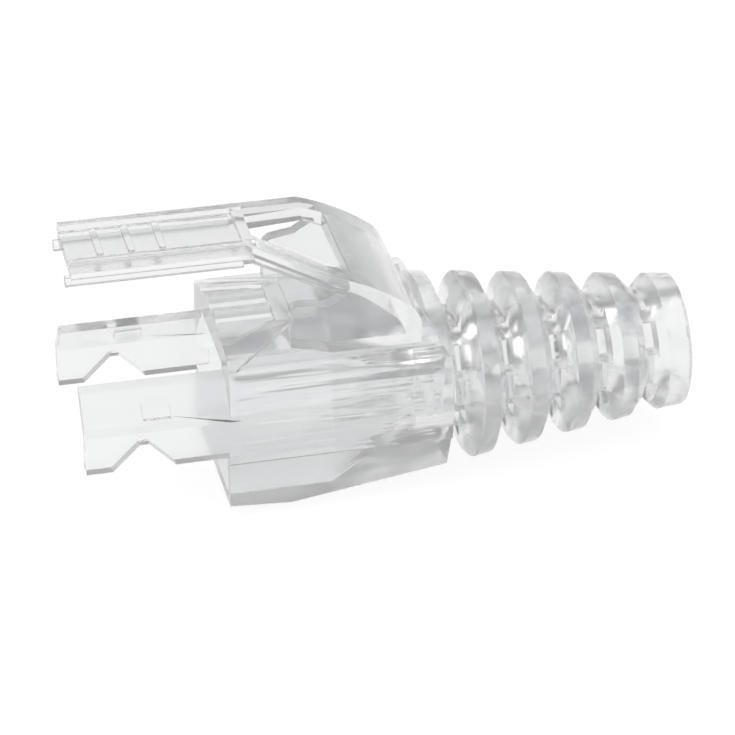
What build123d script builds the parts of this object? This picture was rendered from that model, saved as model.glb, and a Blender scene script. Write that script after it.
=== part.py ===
from build123d import *
import os

# Strain relief boot for a modular network plug, moulded in one piece of clear plastic.
# Millimetres, +Z up. It lies with its keel and its largest ring on the floor, the ribbed tail
# points along +X, and the origin is under the middle of the overall length.
# Every sketch plane is centred on the plug face and the tail axis: u runs rearwards from the
# plug face and v runs up from the axis.

# Body
body_length = 17.35
body_width = 14.2
shoulder_height = 6.15
crown_height = 7.9
crown_width = 6.0
barrel_bulge = 0.25
barrel_bottom = 2.3
barrel_step = 0.3
crown_end = 15.3
rear_shoulder_height = 4.6

# Keel under the body
keel_front_depth = 6.2
keel_depth = 6.5
keel_rear_depth = 4.7
keel_crest = 4.8
keel_lean = 0.35
keel_wall = 1.2

# Plug socket and the throat that narrows to the cable bore
socket_width = 11.8
socket_depth = 8.0
throat_length = 7.0
latch_room = 0.6
cable_bore = 6.6

# Recess in the crown, with its two latch rails
recess_depth = 0.7
recess_ledge = 0.3
recess_rim = 1.3
recess_margin = 0.6
recess_length = 5.75
recess_rear_width = 6.4
rail_width = 1.0
rail_pitch = 2.3
rail_length = 4.4

# Arms beside the plug
arm_length = 11.0
arm_root = 1.0
arm_bottom = 1.4
arm_fold = 1.75
arm_top = 4.5
arm_lean = 2.0
notch_start = 2.0
notch_apex_start = 4.1
notch_apex_end = 4.8
notch_end = 6.8
notch_depth = 2.1
pad_start = 4.45
pad_length = 2.1
pad_low = 0.3
pad_high = 0.68
pad_thickness = 0.35

# Tongue over the plug's latch
tongue_length = 11.0
tongue_width = 6.4
tongue_top = 14.65
tongue_rail = 0.7
tongue_step = 0.4
tongue_plate = 0.9
tongue_flange = 1.1
tongue_depth = 1.7
bead_radius = 0.45
nub_length = 0.4
rib_count = 3
rib_pitch = 2.35
rib_first = 2.45
rib_length = 4.0
rib_width = 0.5
rib_height = 0.3

# Hood with its window and the two straps that carry the tongue
hood_front = 2.0
hood_shoulder = 8.0
hood_shoulder_height = 12.85
hood_brow = 13.6
hood_brow_height = 9.95
hood_brow_bulge = 0.2
hood_nose = 0.15
hood_rear = 14.9
hood_rear_height = 8.1
hood_width = 12.7
hood_plate = 1.1
strap_width = 1.8
strap_depth = 1.35
window_start = 2.9
window_end = 9.6
cheek_front = 5.0
cheek_front_width = 11.2
cheek_height = 10.3
cheek_round = 0.8
gap_rise = 7.6
gap_end = 9.2
gap_end_drop = 0.3

# Ribbed tail
ring_count = 6
first_ring = 16.5
ring_pitch = 3.82
first_ring_radius = 7.8
ring_radius_step = 0.48
ring_top = 1.5
last_ring_top = 2.1
ring_chamfer = 0.25
front_flank = 0.7
rear_flank = 1.15
ring_drop = 0.2
core_radius_front = 4.9
core_radius_rear = 4.3
slot_width = 1.1
top_web = 3.6
side_web = 2.6

# Places that follow from the sizes
tongue_tip = tongue_length + nub_length
last_ring = first_ring + (ring_count - 1) * ring_pitch
tail_end = last_ring + last_ring_top - ring_top / 2
overall_length = tongue_tip + tail_end
face_x = tongue_tip - overall_length / 2
axis_z = first_ring_radius - ring_radius_step
face_point = (face_x, 0, axis_z)
cross = Plane(origin=face_point, x_dir=(0, 1, 0), z_dir=(1, 0, 0))
side = Plane(origin=face_point, x_dir=(1, 0, 0), z_dir=(0, -1, 0))
plan = Plane(origin=face_point, x_dir=(1, 0, 0), z_dir=(0, 0, 1))
half_width = body_width / 2
tongue_half = tongue_width / 2
hood_half = hood_width / 2
bore_radius = cable_bore / 2
socket_half = socket_width / 2
shoulder_half = half_width - barrel_bulge
keel_half = shoulder_half - barrel_step
crown_half = crown_width / 2
socket_roof = arm_top + latch_room
socket_floor = -keel_depth + keel_wall
latch_half = socket_half - arm_lean
gap_end_height = hood_shoulder_height - strap_depth - gap_end_drop

# Body shell: barrel sides with a low crown on top, cut back over the first ring
with BuildPart() as body:
    with BuildSketch(cross):
        with BuildLine():
            Polyline(
                (0, crown_height),
                (crown_half, crown_height),
                (shoulder_half, shoulder_height),
            )
            ThreePointArc(
                (shoulder_half, shoulder_height),
                (half_width, (shoulder_height - barrel_bottom) / 2),
                (shoulder_half, -barrel_bottom),
            )
            Polyline(
                (shoulder_half, -barrel_bottom),
                (0, -barrel_bottom),
                (0, crown_height),
            )
        make_face()
        mirror(about=Plane.YZ)
    extrude(amount=body_length)
    with BuildSketch(side):
        Polygon(
            (crown_end, crown_height),
            (body_length, crown_height),
            (body_length, rear_shoulder_height),
            align=None,
        )
    extrude(amount=body_width, both=True, mode=Mode.SUBTRACT)

# Keel: a short flat sole at the front, then a long rise towards the tail
with BuildPart() as keel:
    with BuildSketch(side):
        Polygon(
            (0, 0),
            (0, -keel_front_depth),
            (keel_crest, -keel_depth),
            (body_length - keel_lean, -keel_rear_depth),
            (body_length, -barrel_bottom),
            (body_length, 0),
            align=None,
        )
    extrude(amount=keel_half, both=True)


# Plug socket: full width for the plug, narrower above it where the latch lies. The throat behind
# it narrows to the round cable bore.
def plug_section(distance, roof):
    """Cross-section of the plug's room at a distance from the plug face."""
    with BuildSketch(cross.offset(distance)) as section:
        Polygon(
            (socket_half, socket_floor),
            (socket_half, arm_fold),
            (latch_half, arm_top),
            (latch_half, roof),
            (-latch_half, roof),
            (-latch_half, arm_top),
            (-socket_half, arm_fold),
            (-socket_half, socket_floor),
            align=None,
        )
    return section.sketch


with BuildPart() as socket:
    extrude(plug_section(0, socket_roof), amount=socket_depth)

throat_end = socket_depth + throat_length
with BuildPart() as throat:
    add(plug_section(socket_depth, socket_roof))
    with BuildSketch(cross.offset(throat_end)):
        Circle(bore_radius)
    loft()


# Recess in the crown: a ledge all round and a deeper middle, both following the crown's slopes
def crown_pocket(inset, depth):
    """Pocket of one depth in the crown, open at the front, drawn in by inset and more at the sides."""
    front_half = shoulder_half - inset * 2
    rear_half = recess_rear_width / 2 - inset / 2
    with BuildPart() as pocket:
        with BuildSketch(plan):
            Polygon(
                (-inset - recess_margin, -front_half),
                (recess_margin, -front_half),
                (recess_length - inset, -rear_half),
                (recess_length - inset, rear_half),
                (recess_margin, front_half),
                (-inset - recess_margin, front_half),
                align=None,
            )
        extrude(amount=crown_height + depth)
        with BuildSketch(cross):
            Polygon(
                (-half_width, 0),
                (-half_width, shoulder_height - depth),
                (-shoulder_half, shoulder_height - depth),
                (-crown_half, crown_height - depth),
                (crown_half, crown_height - depth),
                (shoulder_half, shoulder_height - depth),
                (half_width, shoulder_height - depth),
                (half_width, 0),
                align=None,
            )
        extrude(amount=body_length, both=True, mode=Mode.SUBTRACT)
    return pocket.part


with BuildPart() as recess:
    add(crown_pocket(0, recess_ledge))
    add(crown_pocket(recess_rim, recess_depth))
with BuildPart() as rails:
    with BuildSketch(plan.offset(crown_height - recess_depth)):
        with Locations((rail_length / 2, -rail_pitch / 2), (rail_length / 2, rail_pitch / 2)):
            Rectangle(rail_length, rail_width)
    extrude(amount=recess_depth)

# One arm: an upright band whose upper part leans in over the plug, with a pad on its outside
arm_front = -arm_length
arm_slope = arm_top - arm_fold
with BuildPart() as arm:
    with BuildSketch(cross.offset(arm_front)):
        Polygon(
            (half_width, -arm_bottom),
            (half_width, arm_fold),
            (half_width - arm_lean, arm_top),
            (latch_half, arm_top),
            (socket_half, arm_fold),
            (socket_half, -arm_bottom),
            align=None,
        )
    extrude(amount=arm_length + arm_root)
    with BuildSketch(side):
        Polygon(
            (arm_front + notch_start, -arm_bottom),
            (arm_front + notch_apex_start, -arm_bottom + notch_depth),
            (arm_front + notch_apex_end, -arm_bottom + notch_depth),
            (arm_front + notch_end, -arm_bottom),
            align=None,
        )
    extrude(amount=-body_width, mode=Mode.SUBTRACT)
    with BuildSketch(cross.offset(arm_front + pad_start)):
        Polygon(
            (half_width - arm_lean * pad_low, arm_fold + arm_slope * pad_low),
            (half_width - arm_lean * pad_high, arm_fold + arm_slope * pad_high),
            (half_width - arm_lean * pad_high + pad_thickness, arm_fold + arm_slope * pad_high),
            (half_width - arm_lean * pad_low + pad_thickness, arm_fold + arm_slope * pad_low),
            align=None,
        )
    extrude(amount=pad_length)

# Tongue: an inverted channel with beaded flanges, and grip ribs between two raised edges
tongue_low = tongue_top - tongue_depth
plate_top = tongue_top - tongue_step
with BuildPart() as tongue:
    with BuildSketch(cross.offset(-tongue_length)):
        Polygon(
            (tongue_half, tongue_top),
            (tongue_half, tongue_low),
            (tongue_half - tongue_flange, tongue_low),
            (tongue_half - tongue_flange, plate_top - tongue_plate),
            (-tongue_half + tongue_flange, plate_top - tongue_plate),
            (-tongue_half + tongue_flange, tongue_low),
            (-tongue_half, tongue_low),
            (-tongue_half, tongue_top),
            (-tongue_half + tongue_rail, tongue_top),
            (-tongue_half + tongue_rail, plate_top),
            (tongue_half - tongue_rail, plate_top),
            (tongue_half - tongue_rail, tongue_top),
            align=None,
        )
    extrude(amount=tongue_length + window_start)
    with BuildSketch(cross.offset(-tongue_tip)):
        with Locations((-tongue_half + bead_radius, tongue_low), (tongue_half - bead_radius, tongue_low)):
            Circle(bead_radius)
    extrude(amount=tongue_tip + hood_front)
    with BuildSketch(plan.offset(plate_top)):
        with Locations([(-tongue_length + rib_first + i * rib_pitch, 0) for i in range(rib_count)]):
            SlotOverall(rib_length, rib_width, rotation=90)
    extrude(amount=rib_height)


# Hood: the side profile and the plan outline meet in one curved roof
def hood_profile(inset):
    """Side view of the hood, with its roof and its back drawn in by inset."""
    shoulder = (hood_shoulder, hood_shoulder_height - inset)
    brow = (hood_brow - inset, hood_brow_height - inset)
    rear = (hood_rear - inset, hood_rear_height - inset)
    shoulder_brow = (
        (shoulder[0] + brow[0]) / 2 + hood_brow_bulge,
        (shoulder[1] + brow[1]) / 2 + hood_brow_bulge,
    )
    brow_rear = (
        (brow[0] + rear[0]) / 2 + hood_nose,
        (brow[1] + rear[1]) / 2 + hood_nose,
    )
    with BuildSketch(side) as profile:
        with BuildLine():
            Line((hood_front, tongue_top - inset), shoulder)
            ThreePointArc(shoulder, shoulder_brow, brow)
            ThreePointArc(brow, brow_rear, rear)
            Polyline(
                rear,
                (hood_rear - inset, socket_roof),
                (hood_front, socket_roof),
                (hood_front, tongue_top - inset),
            )
        make_face()
    return profile.sketch


def hood_outline(inset, start, end):
    """Plan view of the hood between two distances, drawn in by inset on both sides."""
    with BuildSketch(plan) as outline:
        Polygon(
            (start, -tongue_half + inset),
            (start, tongue_half - inset),
            (hood_shoulder, hood_half - inset),
            (end, hood_half - inset),
            (end, -hood_half + inset),
            (hood_shoulder, -hood_half + inset),
            align=None,
        )
    return outline.sketch


with BuildPart() as hood_inside:
    extrude(hood_profile(hood_plate), amount=half_width, both=True)
    extrude(hood_outline(hood_plate, hood_front, hood_rear), amount=tongue_top, mode=Mode.INTERSECT)

# The window opens from above, and the gap under each strap from the side
with BuildPart() as window:
    extrude(hood_outline(strap_width, window_start, window_end), amount=overall_length)
with BuildPart() as strap_gap:
    with BuildSketch(side):
        Polygon(
            (0, 0),
            (0, tongue_top - strap_depth),
            (hood_front, tongue_top - strap_depth),
            (hood_shoulder, hood_shoulder_height - strap_depth),
            (gap_end, gap_end_height),
            (gap_end, 0),
            align=None,
        )
    extrude(amount=half_width, both=True)

with BuildPart() as hood:
    extrude(hood_profile(0), amount=half_width, both=True)
    extrude(hood_outline(0, hood_front, hood_rear), amount=tongue_top, mode=Mode.INTERSECT)
    add(hood_inside.part, mode=Mode.SUBTRACT)
    add(window.part, mode=Mode.SUBTRACT)
    add(strap_gap.part, mode=Mode.SUBTRACT)


# Cheeks: the low walls that close the hood's sides under the straps
def cheek_outline(inset):
    """Plan view of the cheeks, drawn in by inset on both sides."""
    with BuildSketch(plan.offset(socket_roof)) as outline:
        Polygon(
            (cheek_front, -cheek_front_width / 2 + inset),
            (cheek_front, cheek_front_width / 2 - inset),
            (hood_shoulder, hood_half - inset),
            (gap_end, hood_half - inset),
            (gap_end, -hood_half + inset),
            (hood_shoulder, -hood_half + inset),
            align=None,
        )
    return outline.sketch


with BuildPart() as cheeks:
    extrude(cheek_outline(0), amount=tongue_top)
    extrude(cheek_outline(hood_plate), amount=tongue_top, mode=Mode.SUBTRACT)
    with BuildSketch(side):
        with BuildLine():
            Line((cheek_front, 0), (cheek_front, cheek_height - cheek_round))
            TangentArc(
                (cheek_front, cheek_height - cheek_round),
                (cheek_front + cheek_round, cheek_height),
                tangent=(0, 1),
            )
            Polyline(
                (cheek_front + cheek_round, cheek_height),
                (gap_rise, cheek_height),
                (gap_end, gap_end_height),
                (gap_end, 0),
                (cheek_front, 0),
            )
        make_face()
    extrude(amount=half_width, both=True, mode=Mode.INTERSECT)


# Tail: rings that shrink towards the end, on a core that tapers too. Only the upper part of the
# first ring stands clear of the body.
def ring_start(index):
    """Distance from the plug face to the front edge of a ring's top."""
    return first_ring - ring_top / 2 + index * ring_pitch


def ring_end(index):
    """Distance from the plug face to the rear edge of a ring's top."""
    top = last_ring_top if index == ring_count - 1 else ring_top
    return ring_start(index) + top


def ring_radius(index):
    """Outer radius of a ring at its front edge."""
    return first_ring_radius - index * ring_radius_step


def core_radius(u):
    """Radius of the tapered core at a distance from the plug face."""
    share = (u - first_ring) / (tail_end - first_ring)
    return core_radius_front + share * (core_radius_rear - core_radius_front)


tail_start = ring_start(0) - front_flank
tail_points = [(tail_start, 0)]
for index in range(ring_count):
    foot = ring_start(index) - front_flank
    tail_points.append((foot, core_radius(foot)))
    tail_points.append((ring_start(index), ring_radius(index) - ring_chamfer))
    tail_points.append((ring_start(index) + ring_chamfer, ring_radius(index)))
    tail_points.append((ring_end(index), ring_radius(index) - ring_drop))
    if index < ring_count - 1:
        heel = ring_end(index) + rear_flank
        tail_points.append((heel, core_radius(heel)))
tail_points.append((tail_end, 0))

with BuildPart() as tail:
    with BuildSketch(side):
        Polygon(*tail_points, align=None)
    revolve(axis=Axis(face_point, (1, 0, 0)))
    with BuildSketch(cross.offset(tail_start)):
        Rectangle(overall_length, overall_length)
        Rectangle(keel_half * 2, first_ring_radius * 2, align=(Align.CENTER, Align.MIN), mode=Mode.SUBTRACT)
        Circle(core_radius(tail_start), mode=Mode.SUBTRACT)
    extrude(amount=ring_end(0) + rear_flank - tail_start, mode=Mode.SUBTRACT)

# Slots in each valley: four openings, with webs left at the top, the bottom and the sides
with BuildPart() as slots:
    for index in range(ring_count - 1):
        valley_start = max(ring_end(index) + rear_flank, body_length)
        valley_end = ring_start(index + 1) - front_flank
        slot_start = (valley_start + valley_end - slot_width) / 2
        with BuildSketch(cross.offset(slot_start)):
            Circle(ring_radius(index))
            Rectangle(overall_length, side_web, mode=Mode.SUBTRACT)
            Rectangle(top_web, overall_length, mode=Mode.SUBTRACT)
        extrude(amount=slot_width)
with BuildPart() as bore:
    with BuildSketch(cross.offset(throat_end)):
        Circle(bore_radius)
    extrude(amount=tail_end)

with BuildPart() as boot:
    add(body.part)
    add(keel.part)
    add(tail.part)
    add(hood.part)
    add(cheeks.part)
    add(socket.part, mode=Mode.SUBTRACT)
    add(throat.part, mode=Mode.SUBTRACT)
    add(recess.part, mode=Mode.SUBTRACT)
    add(bore.part, mode=Mode.SUBTRACT)
    add(slots.part, mode=Mode.SUBTRACT)
    add(rails.part)
    add(arm.part)
    mirror(arm.part, about=Plane.XZ)
    add(tongue.part)

os.makedirs("parts", exist_ok=True)
boot.part.label = "boot"
export_step(boot.part, "parts/boot.step")
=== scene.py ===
import logging
import math
from dataclasses import dataclass
from enum import Enum

import bpy
from mathutils import Matrix, Vector


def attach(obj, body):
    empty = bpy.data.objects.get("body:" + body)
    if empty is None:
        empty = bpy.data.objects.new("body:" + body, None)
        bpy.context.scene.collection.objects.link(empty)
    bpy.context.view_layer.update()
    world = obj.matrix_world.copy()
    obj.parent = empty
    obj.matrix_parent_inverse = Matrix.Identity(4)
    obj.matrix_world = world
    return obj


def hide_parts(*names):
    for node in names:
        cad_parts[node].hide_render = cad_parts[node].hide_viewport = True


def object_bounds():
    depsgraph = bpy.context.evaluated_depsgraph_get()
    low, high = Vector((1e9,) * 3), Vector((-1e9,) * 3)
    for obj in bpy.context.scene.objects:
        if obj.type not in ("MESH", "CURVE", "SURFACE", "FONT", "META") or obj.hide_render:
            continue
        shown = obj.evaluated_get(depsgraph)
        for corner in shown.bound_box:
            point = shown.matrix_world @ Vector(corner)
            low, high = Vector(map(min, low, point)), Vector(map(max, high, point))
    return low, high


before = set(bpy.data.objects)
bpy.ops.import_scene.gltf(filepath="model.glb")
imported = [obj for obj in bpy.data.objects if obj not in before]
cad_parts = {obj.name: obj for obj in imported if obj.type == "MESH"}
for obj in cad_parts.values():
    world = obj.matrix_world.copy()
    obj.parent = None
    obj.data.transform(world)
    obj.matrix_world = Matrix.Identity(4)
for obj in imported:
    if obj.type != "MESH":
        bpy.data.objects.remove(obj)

CAD_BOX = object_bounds()

logging.basicConfig(level=logging.INFO, format="%(message)s")
log = logging.getLogger("boot")

MM = 0.001
PHOTO_SIDE_PX = 735.0

# Levels of finer noise in each kind of flow mark
STREAK_DETAIL = 1.5
RIPPLE_DETAIL = 1.0


class SocketKind(Enum):
    """Kinds of value that a node group takes in or gives out."""

    NUMBER = "NodeSocketFloat"
    PLACE = "NodeSocketVector"


class Joining(Enum):
    """Ways to make one number of two."""

    SUM = "ADD"
    PRODUCT = "MULTIPLY"
    LARGER = "MAXIMUM"


def select_only(piece: bpy.types.Object) -> None:
    """Make one piece active and the only one selected.

    Args:
        piece: The piece that the next operator works on.
    """
    if bpy.context.mode != "OBJECT":
        bpy.ops.object.mode_set(mode="OBJECT")
    bpy.ops.object.select_all(action="DESELECT")
    piece.select_set(True)
    bpy.context.view_layer.objects.active = piece


def opaque_grey(value: float) -> tuple[float, float, float, float]:
    """Give a grey as an opaque colour."""
    return (value, value, value, 1.0)


def joined(
    tree: bpy.types.NodeTree,
    way: Joining,
    first: bpy.types.NodeSocket,
    second: bpy.types.NodeSocket,
) -> bpy.types.NodeSocket:
    """Make one number of two in a node tree.

    Args:
        tree: The node tree.
        way: How the two are joined.
        first: The first number.
        second: The second number.

    Returns:
        The new number.
    """
    node = tree.nodes.new("ShaderNodeMath")
    node.operation = way.value
    tree.links.new(first, node.inputs[0])
    tree.links.new(second, node.inputs[1])
    return node.outputs["Value"]


def smooth_step(
    tree: bpy.types.NodeTree,
    value: bpy.types.NodeSocket,
    low: bpy.types.NodeSocket,
    high: bpy.types.NodeSocket,
    falling: bool = False,
) -> bpy.types.NodeSocket:
    """Make a number that goes smoothly from 0 to 1 between two limits.

    Args:
        tree: The node tree.
        value: The number that is set against the limits.
        low: Limit at which the result starts to change.
        high: Limit at which it has changed.
        falling: Whether it goes from 1 to 0 instead.

    Returns:
        The new number.
    """
    step = tree.nodes.new("ShaderNodeMapRange")
    step.interpolation_type = "SMOOTHSTEP"
    step.inputs["To Min"].default_value = 1.0 if falling else 0.0
    step.inputs["To Max"].default_value = 0.0 if falling else 1.0
    tree.links.new(value, step.inputs["Value"])
    tree.links.new(low, step.inputs["From Min"])
    tree.links.new(high, step.inputs["From Max"])
    return step.outputs["Result"]


def new_group(
    name: str, numbers: tuple[str, ...], result: str
) -> tuple[bpy.types.NodeTree, dict[str, bpy.types.Node]]:
    """Start a node group that reads a place and some numbers and gives out one number.

    Args:
        name: The group's name.
        numbers: Names of the number inputs.
        result: Name of the output.

    Returns:
        The group and its input and output nodes.
    """
    group = bpy.data.node_groups.new(name, "ShaderNodeTree")
    sockets = group.interface
    sockets.new_socket("Place", in_out="INPUT", socket_type=SocketKind.PLACE.value)
    for label in numbers:
        sockets.new_socket(label, in_out="INPUT", socket_type=SocketKind.NUMBER.value)
    sockets.new_socket(result, in_out="OUTPUT", socket_type=SocketKind.NUMBER.value)
    ends = {"in": group.nodes.new("NodeGroupInput"), "out": group.nodes.new("NodeGroupOutput")}
    return group, ends


def flow_marks_group() -> bpy.types.NodeTree:
    """Node group for the waves that plastic leaves as it flows along a mould.

    Along and Across are the long waves' numbers per metre, Ripple is that of the round ones,
    and Fine is the share of the round ones.

    Returns:
        A group with Place, Along, Across, Ripple and Fine inputs and a Height output.
    """
    group, ends = new_group("flow_marks", ("Along", "Across", "Ripple", "Fine"), "Height")
    nodes, links = group.nodes, group.links
    given = ends["in"].outputs
    scale = nodes.new("ShaderNodeCombineXYZ")
    links.new(given["Along"], scale.inputs["X"])
    links.new(given["Across"], scale.inputs["Y"])
    links.new(given["Across"], scale.inputs["Z"])
    stretch = nodes.new("ShaderNodeVectorMath")
    stretch.operation = "MULTIPLY"
    links.new(given["Place"], stretch.inputs[0])
    links.new(scale.outputs["Vector"], stretch.inputs[1])
    streaks = nodes.new("ShaderNodeTexNoise")
    streaks.inputs["Scale"].default_value = 1.0
    streaks.inputs["Detail"].default_value = STREAK_DETAIL
    links.new(stretch.outputs["Vector"], streaks.inputs["Vector"])
    ripple = nodes.new("ShaderNodeTexNoise")
    ripple.inputs["Detail"].default_value = RIPPLE_DETAIL
    links.new(given["Place"], ripple.inputs["Vector"])
    links.new(given["Ripple"], ripple.inputs["Scale"])
    mix = nodes.new("ShaderNodeMix")
    mix.data_type = "FLOAT"
    links.new(given["Fine"], mix.inputs["Factor"])
    links.new(streaks.outputs["Fac"], mix.inputs["A"])
    links.new(ripple.outputs["Fac"], mix.inputs["B"])
    links.new(mix.outputs["Result"], ends["out"].inputs["Height"])
    return group


def side_walls_group() -> bpy.types.NodeTree:
    """Node group that finds the outer side walls over a stretch of the boot.

    The mask is 1 further from the middle plane than Outer, past Start and before End.

    Returns:
        A group with Place, Inner, Outer, Start, End and Fade inputs and a Mask output.
    """
    group, ends = new_group("side_walls", ("Inner", "Outer", "Start", "End", "Fade"), "Mask")
    nodes, links = group.nodes, group.links
    given = ends["in"].outputs
    split = nodes.new("ShaderNodeSeparateXYZ")
    links.new(given["Place"], split.inputs["Vector"])
    reach = nodes.new("ShaderNodeMath")
    reach.operation = "ABSOLUTE"
    links.new(split.outputs["Y"], reach.inputs[0])
    start_full = joined(group, Joining.SUM, given["Start"], given["Fade"])
    end_gone = joined(group, Joining.SUM, given["End"], given["Fade"])
    outside = smooth_step(group, reach.outputs["Value"], given["Inner"], given["Outer"])
    started = smooth_step(group, split.outputs["X"], given["Start"], start_full)
    lasting = smooth_step(group, split.outputs["X"], given["End"], end_gone, falling=True)
    begun = joined(group, Joining.PRODUCT, outside, started)
    mask = joined(group, Joining.PRODUCT, begun, lasting)
    links.new(mask, ends["out"].inputs["Mask"])
    return group


@dataclass(frozen=True)
class ClearPlastic:
    """Clear soft plastic as it comes from the mould, with flow streaks along its side walls as
    bumps and a painted highlight along them.

    Attributes:
        name: The material's name.
        tint: Colour that each of its surfaces gives to the light that passes.
        painted_highlight: Painted highlight, a lighter colour than the tint in the middle of a
            streak, for light that the cavity's edges bend there.
        body_colour: Colour of the light that is left deep in the plastic.
        body_density: How fast the plastic takes up light, per metre.
        ior: Index of refraction.
        roughness: Roughness of the moulded skin.
        clarity: Share of the light that passes, where the rest is scattered as a faint haze.
        skin_wave: Height of the faint waves all over, in metres.
        skin_length: Long waves per metre along the boot, all over.
        skin_spread: Long waves per metre across the boot, all over.
        skin_ripple: Round waves per metre, all over.
        skin_fine: Share of the round waves.
        highlight_start: Height of a streak, from 0 to 1, at which its painted highlight starts.
        highlight_full: Height of a streak at which its painted highlight is full.
        side_wave: Height of the streaks on the side walls, in metres.
        side_length: Streaks per metre along the boot.
        side_spread: Streaks per metre up the side walls.
        side_inner: Distance from the boot's middle plane at which the streaks start, in metres.
        side_outer: Distance from it at which they are full.
        side_start: Where the streaks start, in metres along the boot.
        side_end: Where they end.
        side_fade: Length over which they come and go, in metres.
    """

    name: str = "clear_plastic"
    tint: tuple[float, float, float] = (0.91, 0.915, 0.92)
    # Painted highlight: a lighter colour than the tint along the streaks' tops.
    painted_highlight: tuple[float, float, float] = (1.0, 1.0, 1.0)
    body_colour: tuple[float, float, float] = (0.5, 0.505, 0.51)
    body_density: float = 8.0
    ior: float = 1.5
    roughness: float = 0.18
    clarity: float = 0.95
    skin_wave: float = 0.01 * MM
    skin_length: float = 120.0
    skin_spread: float = 900.0
    skin_ripple: float = 420.0
    skin_fine: float = 0.25
    highlight_start: float = 0.42
    highlight_full: float = 0.62
    side_wave: float = 0.40 * MM
    side_length: float = 70.0
    side_spread: float = 1000.0
    side_inner: float = 6.5 * MM
    side_outer: float = 6.9 * MM
    side_start: float = CAD_BOX[0][0] + 11.4 * MM
    side_end: float = CAD_BOX[0][0] + 27.0 * MM
    side_fade: float = 1.0 * MM

    def add_group(
        self, material: bpy.types.Material, group: bpy.types.NodeTree, values: dict[str, float]
    ) -> bpy.types.Node:
        """Place a node group in the material, on Object coordinates.

        Args:
            material: The material.
            group: The node group.
            values: The group's own values in this place, where those left out are 0.

        Returns:
            The group's node.
        """
        nodes, links = material.node_tree.nodes, material.node_tree.links
        node = nodes.new("ShaderNodeGroup")
        node.node_tree = group
        for label, value in values.items():
            node.inputs[label].default_value = value
        links.new(nodes.new("ShaderNodeTexCoord").outputs["Object"], node.inputs["Place"])
        return node

    def add_bump(
        self, material: bpy.types.Material, height: bpy.types.NodeSocket, depth: float
    ) -> bpy.types.Node:
        """Add one bump node to the material.

        Args:
            material: The material.
            height: The height that the bump follows.
            depth: Height of the waves in metres.

        Returns:
            The bump node.
        """
        bump = material.node_tree.nodes.new("ShaderNodeBump")
        bump.inputs["Distance"].default_value = depth
        material.node_tree.links.new(height, bump.inputs["Height"])
        return bump

    def skin_height(
        self, material: bpy.types.Material, marks: bpy.types.NodeTree
    ) -> bpy.types.NodeSocket:
        """Work out the height of the faint waves all over.

        Args:
            material: The material.
            marks: The flow marks' node group.

        Returns:
            The height, from 0 to 1.
        """
        values = {
            "Along": self.skin_length,
            "Across": self.skin_spread,
            "Ripple": self.skin_ripple,
            "Fine": self.skin_fine,
        }
        return self.add_group(material, marks, values).outputs["Height"]

    def streak_height(
        self, material: bpy.types.Material, marks: bpy.types.NodeTree
    ) -> bpy.types.NodeSocket:
        """Work out the height of the streaks, which lie on the side walls alone.

        Args:
            material: The material.
            marks: The flow marks' node group.

        Returns:
            The height, from 0 to 1.
        """
        long_waves = {"Along": self.side_length, "Across": self.side_spread}
        stretch = {
            "Inner": self.side_inner,
            "Outer": self.side_outer,
            "Start": self.side_start,
            "End": self.side_end,
            "Fade": self.side_fade,
        }
        streaks = self.add_group(material, marks, long_waves).outputs["Height"]
        walls = self.add_group(material, side_walls_group(), stretch).outputs["Mask"]
        return joined(material.node_tree, Joining.PRODUCT, streaks, walls)

    def build(self) -> bpy.types.Material:
        """Build the material.

        Returns:
            The new material.
        """
        material = bpy.data.materials.new(self.name)
        material.use_nodes = True
        nodes, links = material.node_tree.nodes, material.node_tree.links
        shader = nodes["Principled BSDF"]
        shader.inputs["Roughness"].default_value = self.roughness
        shader.inputs["IOR"].default_value = self.ior
        shader.inputs["Transmission Weight"].default_value = self.clarity
        flow_marks = flow_marks_group()
        skin = self.skin_height(material, flow_marks)
        streaks = self.streak_height(material, flow_marks)
        # Painted highlight: where the streaks rise, the colour goes from the tint to a lighter one.
        highlight_share = nodes.new("ShaderNodeMapRange")
        highlight_share.inputs["From Min"].default_value = self.highlight_start
        highlight_share.inputs["From Max"].default_value = self.highlight_full
        links.new(streaks, highlight_share.inputs["Value"])
        colour = nodes.new("ShaderNodeMix")
        colour.data_type = "RGBA"
        colour.inputs["A"].default_value = (*self.tint, 1.0)
        colour.inputs["B"].default_value = (*self.painted_highlight, 1.0)
        links.new(highlight_share.outputs["Result"], colour.inputs["Factor"])
        links.new(colour.outputs["Result"], shader.inputs["Base Color"])
        body = nodes.new("ShaderNodeVolumeAbsorption")
        body.inputs["Color"].default_value = (*self.body_colour, 1.0)
        body.inputs["Density"].default_value = self.body_density
        links.new(body.outputs["Volume"], nodes["Material Output"].inputs["Volume"])
        skin_bump = self.add_bump(material, skin, self.skin_wave)
        side_bump = self.add_bump(material, streaks, self.side_wave)
        links.new(skin_bump.outputs["Normal"], side_bump.inputs["Normal"])
        links.new(side_bump.outputs["Normal"], shader.inputs["Normal"])
        return material


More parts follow.
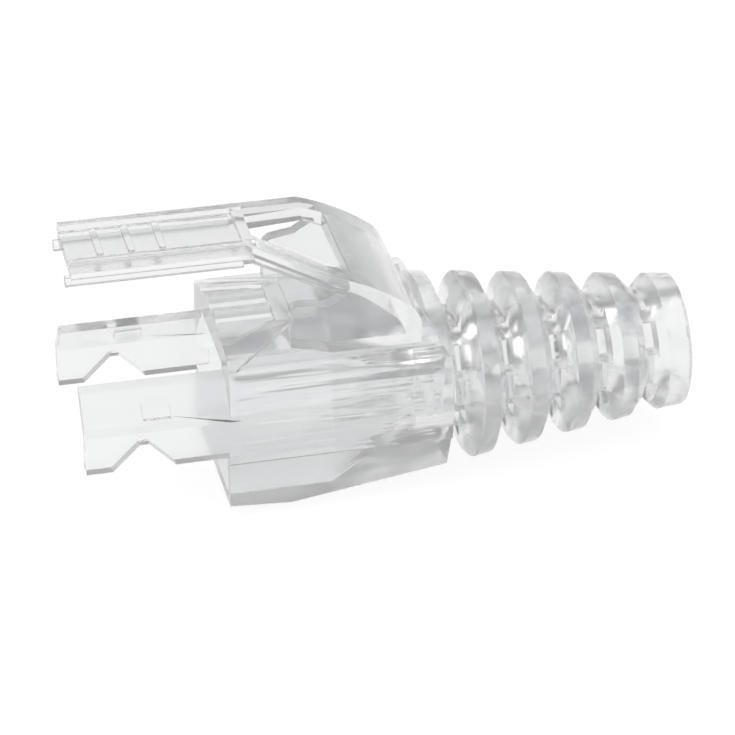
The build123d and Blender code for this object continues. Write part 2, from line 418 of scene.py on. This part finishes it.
@dataclass
class MouldedBoot:
    """The whole boot, taken over from its CAD solid and given the soft edges of a moulding.

    Attributes:
        finish: The clear plastic.
        merge: Distance under which the solid's loose corners are one, in metres.
        flat_angle: Angle under which facets belong to one wall.
        sharp_angle: Angle from which an edge is rounded.
        edge_width: Width of the rounding along such an edge, in metres.
        edge_steps: Facets across the rounding.
        flat_weight: How far large walls outweigh small ones in the shading, where 50 is even.
    """

    finish: ClearPlastic
    merge: float = 0.0005 * MM
    flat_angle: float = math.radians(1.0)
    sharp_angle: float = math.radians(28.0)
    edge_width: float = 0.16 * MM
    edge_steps: int = 2
    flat_weight: int = 100

    def shell(self) -> bpy.types.Object:
        """Copy the CAD solid and make it one closed mesh with whole walls.

        Returns:
            The shell.
        """
        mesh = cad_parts["boot"].data.copy()
        mesh.materials.clear()
        piece = bpy.data.objects.new("boot_shell", mesh)
        bpy.context.scene.collection.objects.link(piece)
        select_only(piece)
        bpy.ops.object.mode_set(mode="EDIT")
        bpy.ops.mesh.select_all(action="SELECT")
        bpy.ops.mesh.customdata_custom_splitnormals_clear()
        bpy.ops.mesh.remove_doubles(threshold=self.merge)
        bpy.ops.mesh.dissolve_limited(angle_limit=self.flat_angle)
        bpy.ops.mesh.normals_make_consistent(inside=False)
        bpy.ops.object.mode_set(mode="OBJECT")
        return piece

    def soften(self, piece: bpy.types.Object) -> None:
        """Round the sharp edges, smooth the curved walls and keep the flat walls flat.

        Args:
            piece: The shell.
        """
        select_only(piece)
        bevel = piece.modifiers.new("edge_rounding", "BEVEL")
        bevel.width = self.edge_width
        bevel.segments = self.edge_steps
        bevel.limit_method = "ANGLE"
        bevel.angle_limit = self.sharp_angle
        bpy.ops.object.modifier_apply(modifier=bevel.name)
        bpy.ops.object.shade_smooth_by_angle(angle=self.sharp_angle)
        flats = piece.modifiers.new("flat_walls", "WEIGHTED_NORMAL")
        flats.weight = self.flat_weight
        flats.keep_sharp = True
        bpy.ops.object.modifier_apply(modifier=flats.name)

    def build(self) -> None:
        """Make the boot and hand it to the frame."""
        piece = self.shell()
        self.soften(piece)
        piece.data.materials.append(self.finish.build())
        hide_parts("boot")
        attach(piece, "root")
        log.info("%s: %d faces", piece.name, len(piece.data.polygons))


@dataclass(frozen=True)
class SoftLamp:
    """One soft square lamp.

    Attributes:
        name: The lamp's name.
        place: Where it hangs, in metres.
        side: Length of its side in metres.
        watts: Its power.
    """

    name: str
    place: tuple[float, float, float]
    side: float
    watts: float

    def build(self, aim: Vector) -> None:
        """Hang the lamp.

        Args:
            aim: The point that it faces.
        """
        light = bpy.data.lights.new(self.name, "AREA")
        light.shape = "SQUARE"
        light.size = self.side
        light.energy = self.watts
        lamp = bpy.data.objects.new(self.name, light)
        bpy.context.scene.collection.objects.link(lamp)
        lamp.location = self.place
        lamp.rotation_euler = (aim - Vector(self.place)).to_track_quat("-Z", "Y").to_euler()
        log.info("%s: %.1f W", self.name, self.watts)


@dataclass
class Studio:
    """Pale floor, a room of a few greys, soft lamps and the camera at the photograph's angle.

    Attributes:
        azimuth: Camera azimuth in degrees, with 0 looking along +Y.
        elevation: Camera elevation in degrees.
        roll: Camera roll in degrees.
        distance: Distance from the aim point in metres.
        pixels_per_mm: Scale of the photograph at the aim point.
        aim: Point of the boot that the camera looks at, in metres.
        aim_px: Where that point lies in the photograph.
        sensor: Width of the camera's sensor in millimetres.
        near_clip: Distance from which the camera sees, in metres.
        floor_side: Length of the floor's side in metres.
        floor_gap: Depth of the floor under the boot in metres.
        floor_paint: Grey of the floor's paint.
        backdrop_glow: Strength of the backdrop's white.
        backdrop_paint: Grey of the paint that keeps the boot's shadow on the backdrop.
        room_greys: Height of each band of the room, from level to overhead, with its grey.
        deep_bounces: Bends of light that the plastic's many walls need.
        gloss_bounces: Reflections in a row that are followed.
        lamps: The soft lamps.
    """

    azimuth: float = -13.65
    elevation: float = 31.3
    roll: float = 0.456
    distance: float = 0.2693
    pixels_per_mm: float = 12.973
    aim: tuple[float, float, float] = (CAD_BOX[0][0] + 23.4 * MM, 0.0, CAD_BOX[0][2] + 10.32 * MM)
    aim_px: tuple[float, float] = (364.5, 341.7)
    sensor: float = 36.0
    near_clip: float = 10.0 * MM
    floor_side: float = 2.0
    floor_gap: float = 0.1 * MM
    floor_paint: float = 0.9
    backdrop_glow: float = 0.9
    backdrop_paint: float = 0.14
    room_greys: tuple[tuple[float, float], ...] = (
        (0.06, 1.0),
        (0.20, 0.35),
        (0.60, 0.35),
        (0.85, 1.0),
    )
    deep_bounces: int = 28
    gloss_bounces: int = 12
    lamps: tuple[SoftLamp, ...] = (
        SoftLamp("key_lamp", (-0.25, -0.30, 0.45), 0.45, 1.6),
        SoftLamp("rear_lamp", (0.30, 0.25, 0.55), 0.40, 0.8),
    )

    def camera(self) -> None:
        """Place the camera at the photograph's viewing angle."""
        turn, lift, roll = map(math.radians, (self.azimuth, self.elevation, self.roll))
        back = Vector((
            math.sin(turn) * math.cos(lift),
            -math.cos(turn) * math.cos(lift),
            math.sin(lift),
        ))
        level = Vector((math.cos(turn), math.sin(turn), 0.0))
        upright = back.cross(level)
        right = level * math.cos(roll) + upright * math.sin(roll)
        up = upright * math.cos(roll) - level * math.sin(roll)
        lens = bpy.data.cameras.new("camera")
        lens.lens = self.pixels_per_mm * self.distance / MM / PHOTO_SIDE_PX * self.sensor
        lens.sensor_width = self.sensor
        lens.sensor_fit = "HORIZONTAL"
        lens.clip_start = self.near_clip
        lens.shift_x = (PHOTO_SIDE_PX / 2 - self.aim_px[0]) / PHOTO_SIDE_PX
        lens.shift_y = (self.aim_px[1] - PHOTO_SIDE_PX / 2) / PHOTO_SIDE_PX
        camera = bpy.data.objects.new("camera", lens)
        bpy.context.scene.collection.objects.link(camera)
        stand = Matrix((right, up, back)).transposed().to_4x4()
        stand.translation = Vector(self.aim) + back * self.distance
        camera.matrix_world = stand
        bpy.context.scene.camera = camera

    def floor_material(self) -> bpy.types.Material:
        """Build the floor's paint, which is pale to the light and a white backdrop to the eye.

        The backdrop is what the camera sees, straight on, in gloss and through the plastic.

        Returns:
            The new material.
        """
        material = bpy.data.materials.new("pale_floor")
        material.use_nodes = True
        tree = material.node_tree
        nodes, links = tree.nodes, tree.links
        nodes.clear()
        paint = nodes.new("ShaderNodeBsdfDiffuse")
        paint.inputs["Color"].default_value = opaque_grey(self.floor_paint)
        shade = nodes.new("ShaderNodeBsdfDiffuse")
        shade.inputs["Color"].default_value = opaque_grey(self.backdrop_paint)
        white = nodes.new("ShaderNodeEmission")
        white.inputs["Strength"].default_value = self.backdrop_glow
        backdrop = nodes.new("ShaderNodeAddShader")
        links.new(shade.outputs["BSDF"], backdrop.inputs[0])
        links.new(white.outputs["Emission"], backdrop.inputs[1])
        ray = nodes.new("ShaderNodeLightPath").outputs
        bent = joined(tree, Joining.LARGER, ray["Is Glossy Ray"], ray["Is Transmission Ray"])
        seen = joined(tree, Joining.LARGER, ray["Is Camera Ray"], bent)
        choice = nodes.new("ShaderNodeMixShader")
        links.new(seen, choice.inputs["Fac"])
        links.new(paint.outputs["BSDF"], choice.inputs[1])
        links.new(backdrop.outputs["Shader"], choice.inputs[2])
        output = nodes.new("ShaderNodeOutputMaterial")
        links.new(choice.outputs["Shader"], output.inputs["Surface"])
        return material

    def floor(self) -> None:
        """Lay the floor just under the boot."""
        bpy.ops.object.select_all(action="DESELECT")
        bpy.ops.mesh.primitive_plane_add(size=self.floor_side, location=(0.0, 0.0, -self.floor_gap))
        floor = bpy.context.object
        floor.name = "floor"
        floor.data.materials.append(self.floor_material())

    def room(self) -> None:
        """Light the scene from all round, with a bright skyline and ceiling and greyer walls."""
        world = bpy.data.worlds.new("studio")
        bpy.context.scene.world = world
        world.use_nodes = True
        nodes, links = world.node_tree.nodes, world.node_tree.links
        nodes.clear()
        split = nodes.new("ShaderNodeSeparateXYZ")
        links.new(nodes.new("ShaderNodeTexCoord").outputs["Generated"], split.inputs["Vector"])
        walls = nodes.new("ShaderNodeValToRGB")
        stops = walls.color_ramp.elements
        while len(stops) < len(self.room_greys):
            stops.new(1.0)
        for stop, (height, grey) in zip(stops, self.room_greys):
            stop.position = height
            stop.color = opaque_grey(grey)
        links.new(split.outputs["Z"], walls.inputs["Fac"])
        light = nodes.new("ShaderNodeBackground")
        links.new(walls.outputs["Color"], light.inputs["Color"])
        output = nodes.new("ShaderNodeOutputWorld")
        links.new(light.outputs["Background"], output.inputs["Surface"])

    def build(self) -> None:
        """Set up the whole studio."""
        self.camera()
        self.floor()
        self.room()
        for lamp in self.lamps:
            lamp.build(Vector(self.aim))
        scene = bpy.context.scene
        scene.view_settings.view_transform = "Standard"
        scene.cycles.max_bounces = self.deep_bounces
        scene.cycles.transmission_bounces = self.deep_bounces
        scene.cycles.glossy_bounces = self.gloss_bounces
        log.info("studio: floor, room, %d lamps and camera", len(self.lamps))


def main() -> None:
    """Build the boot and the studio, in order."""
    MouldedBoot(ClearPlastic()).build()
    Studio().build()


if __name__ == "__main__":
    main()
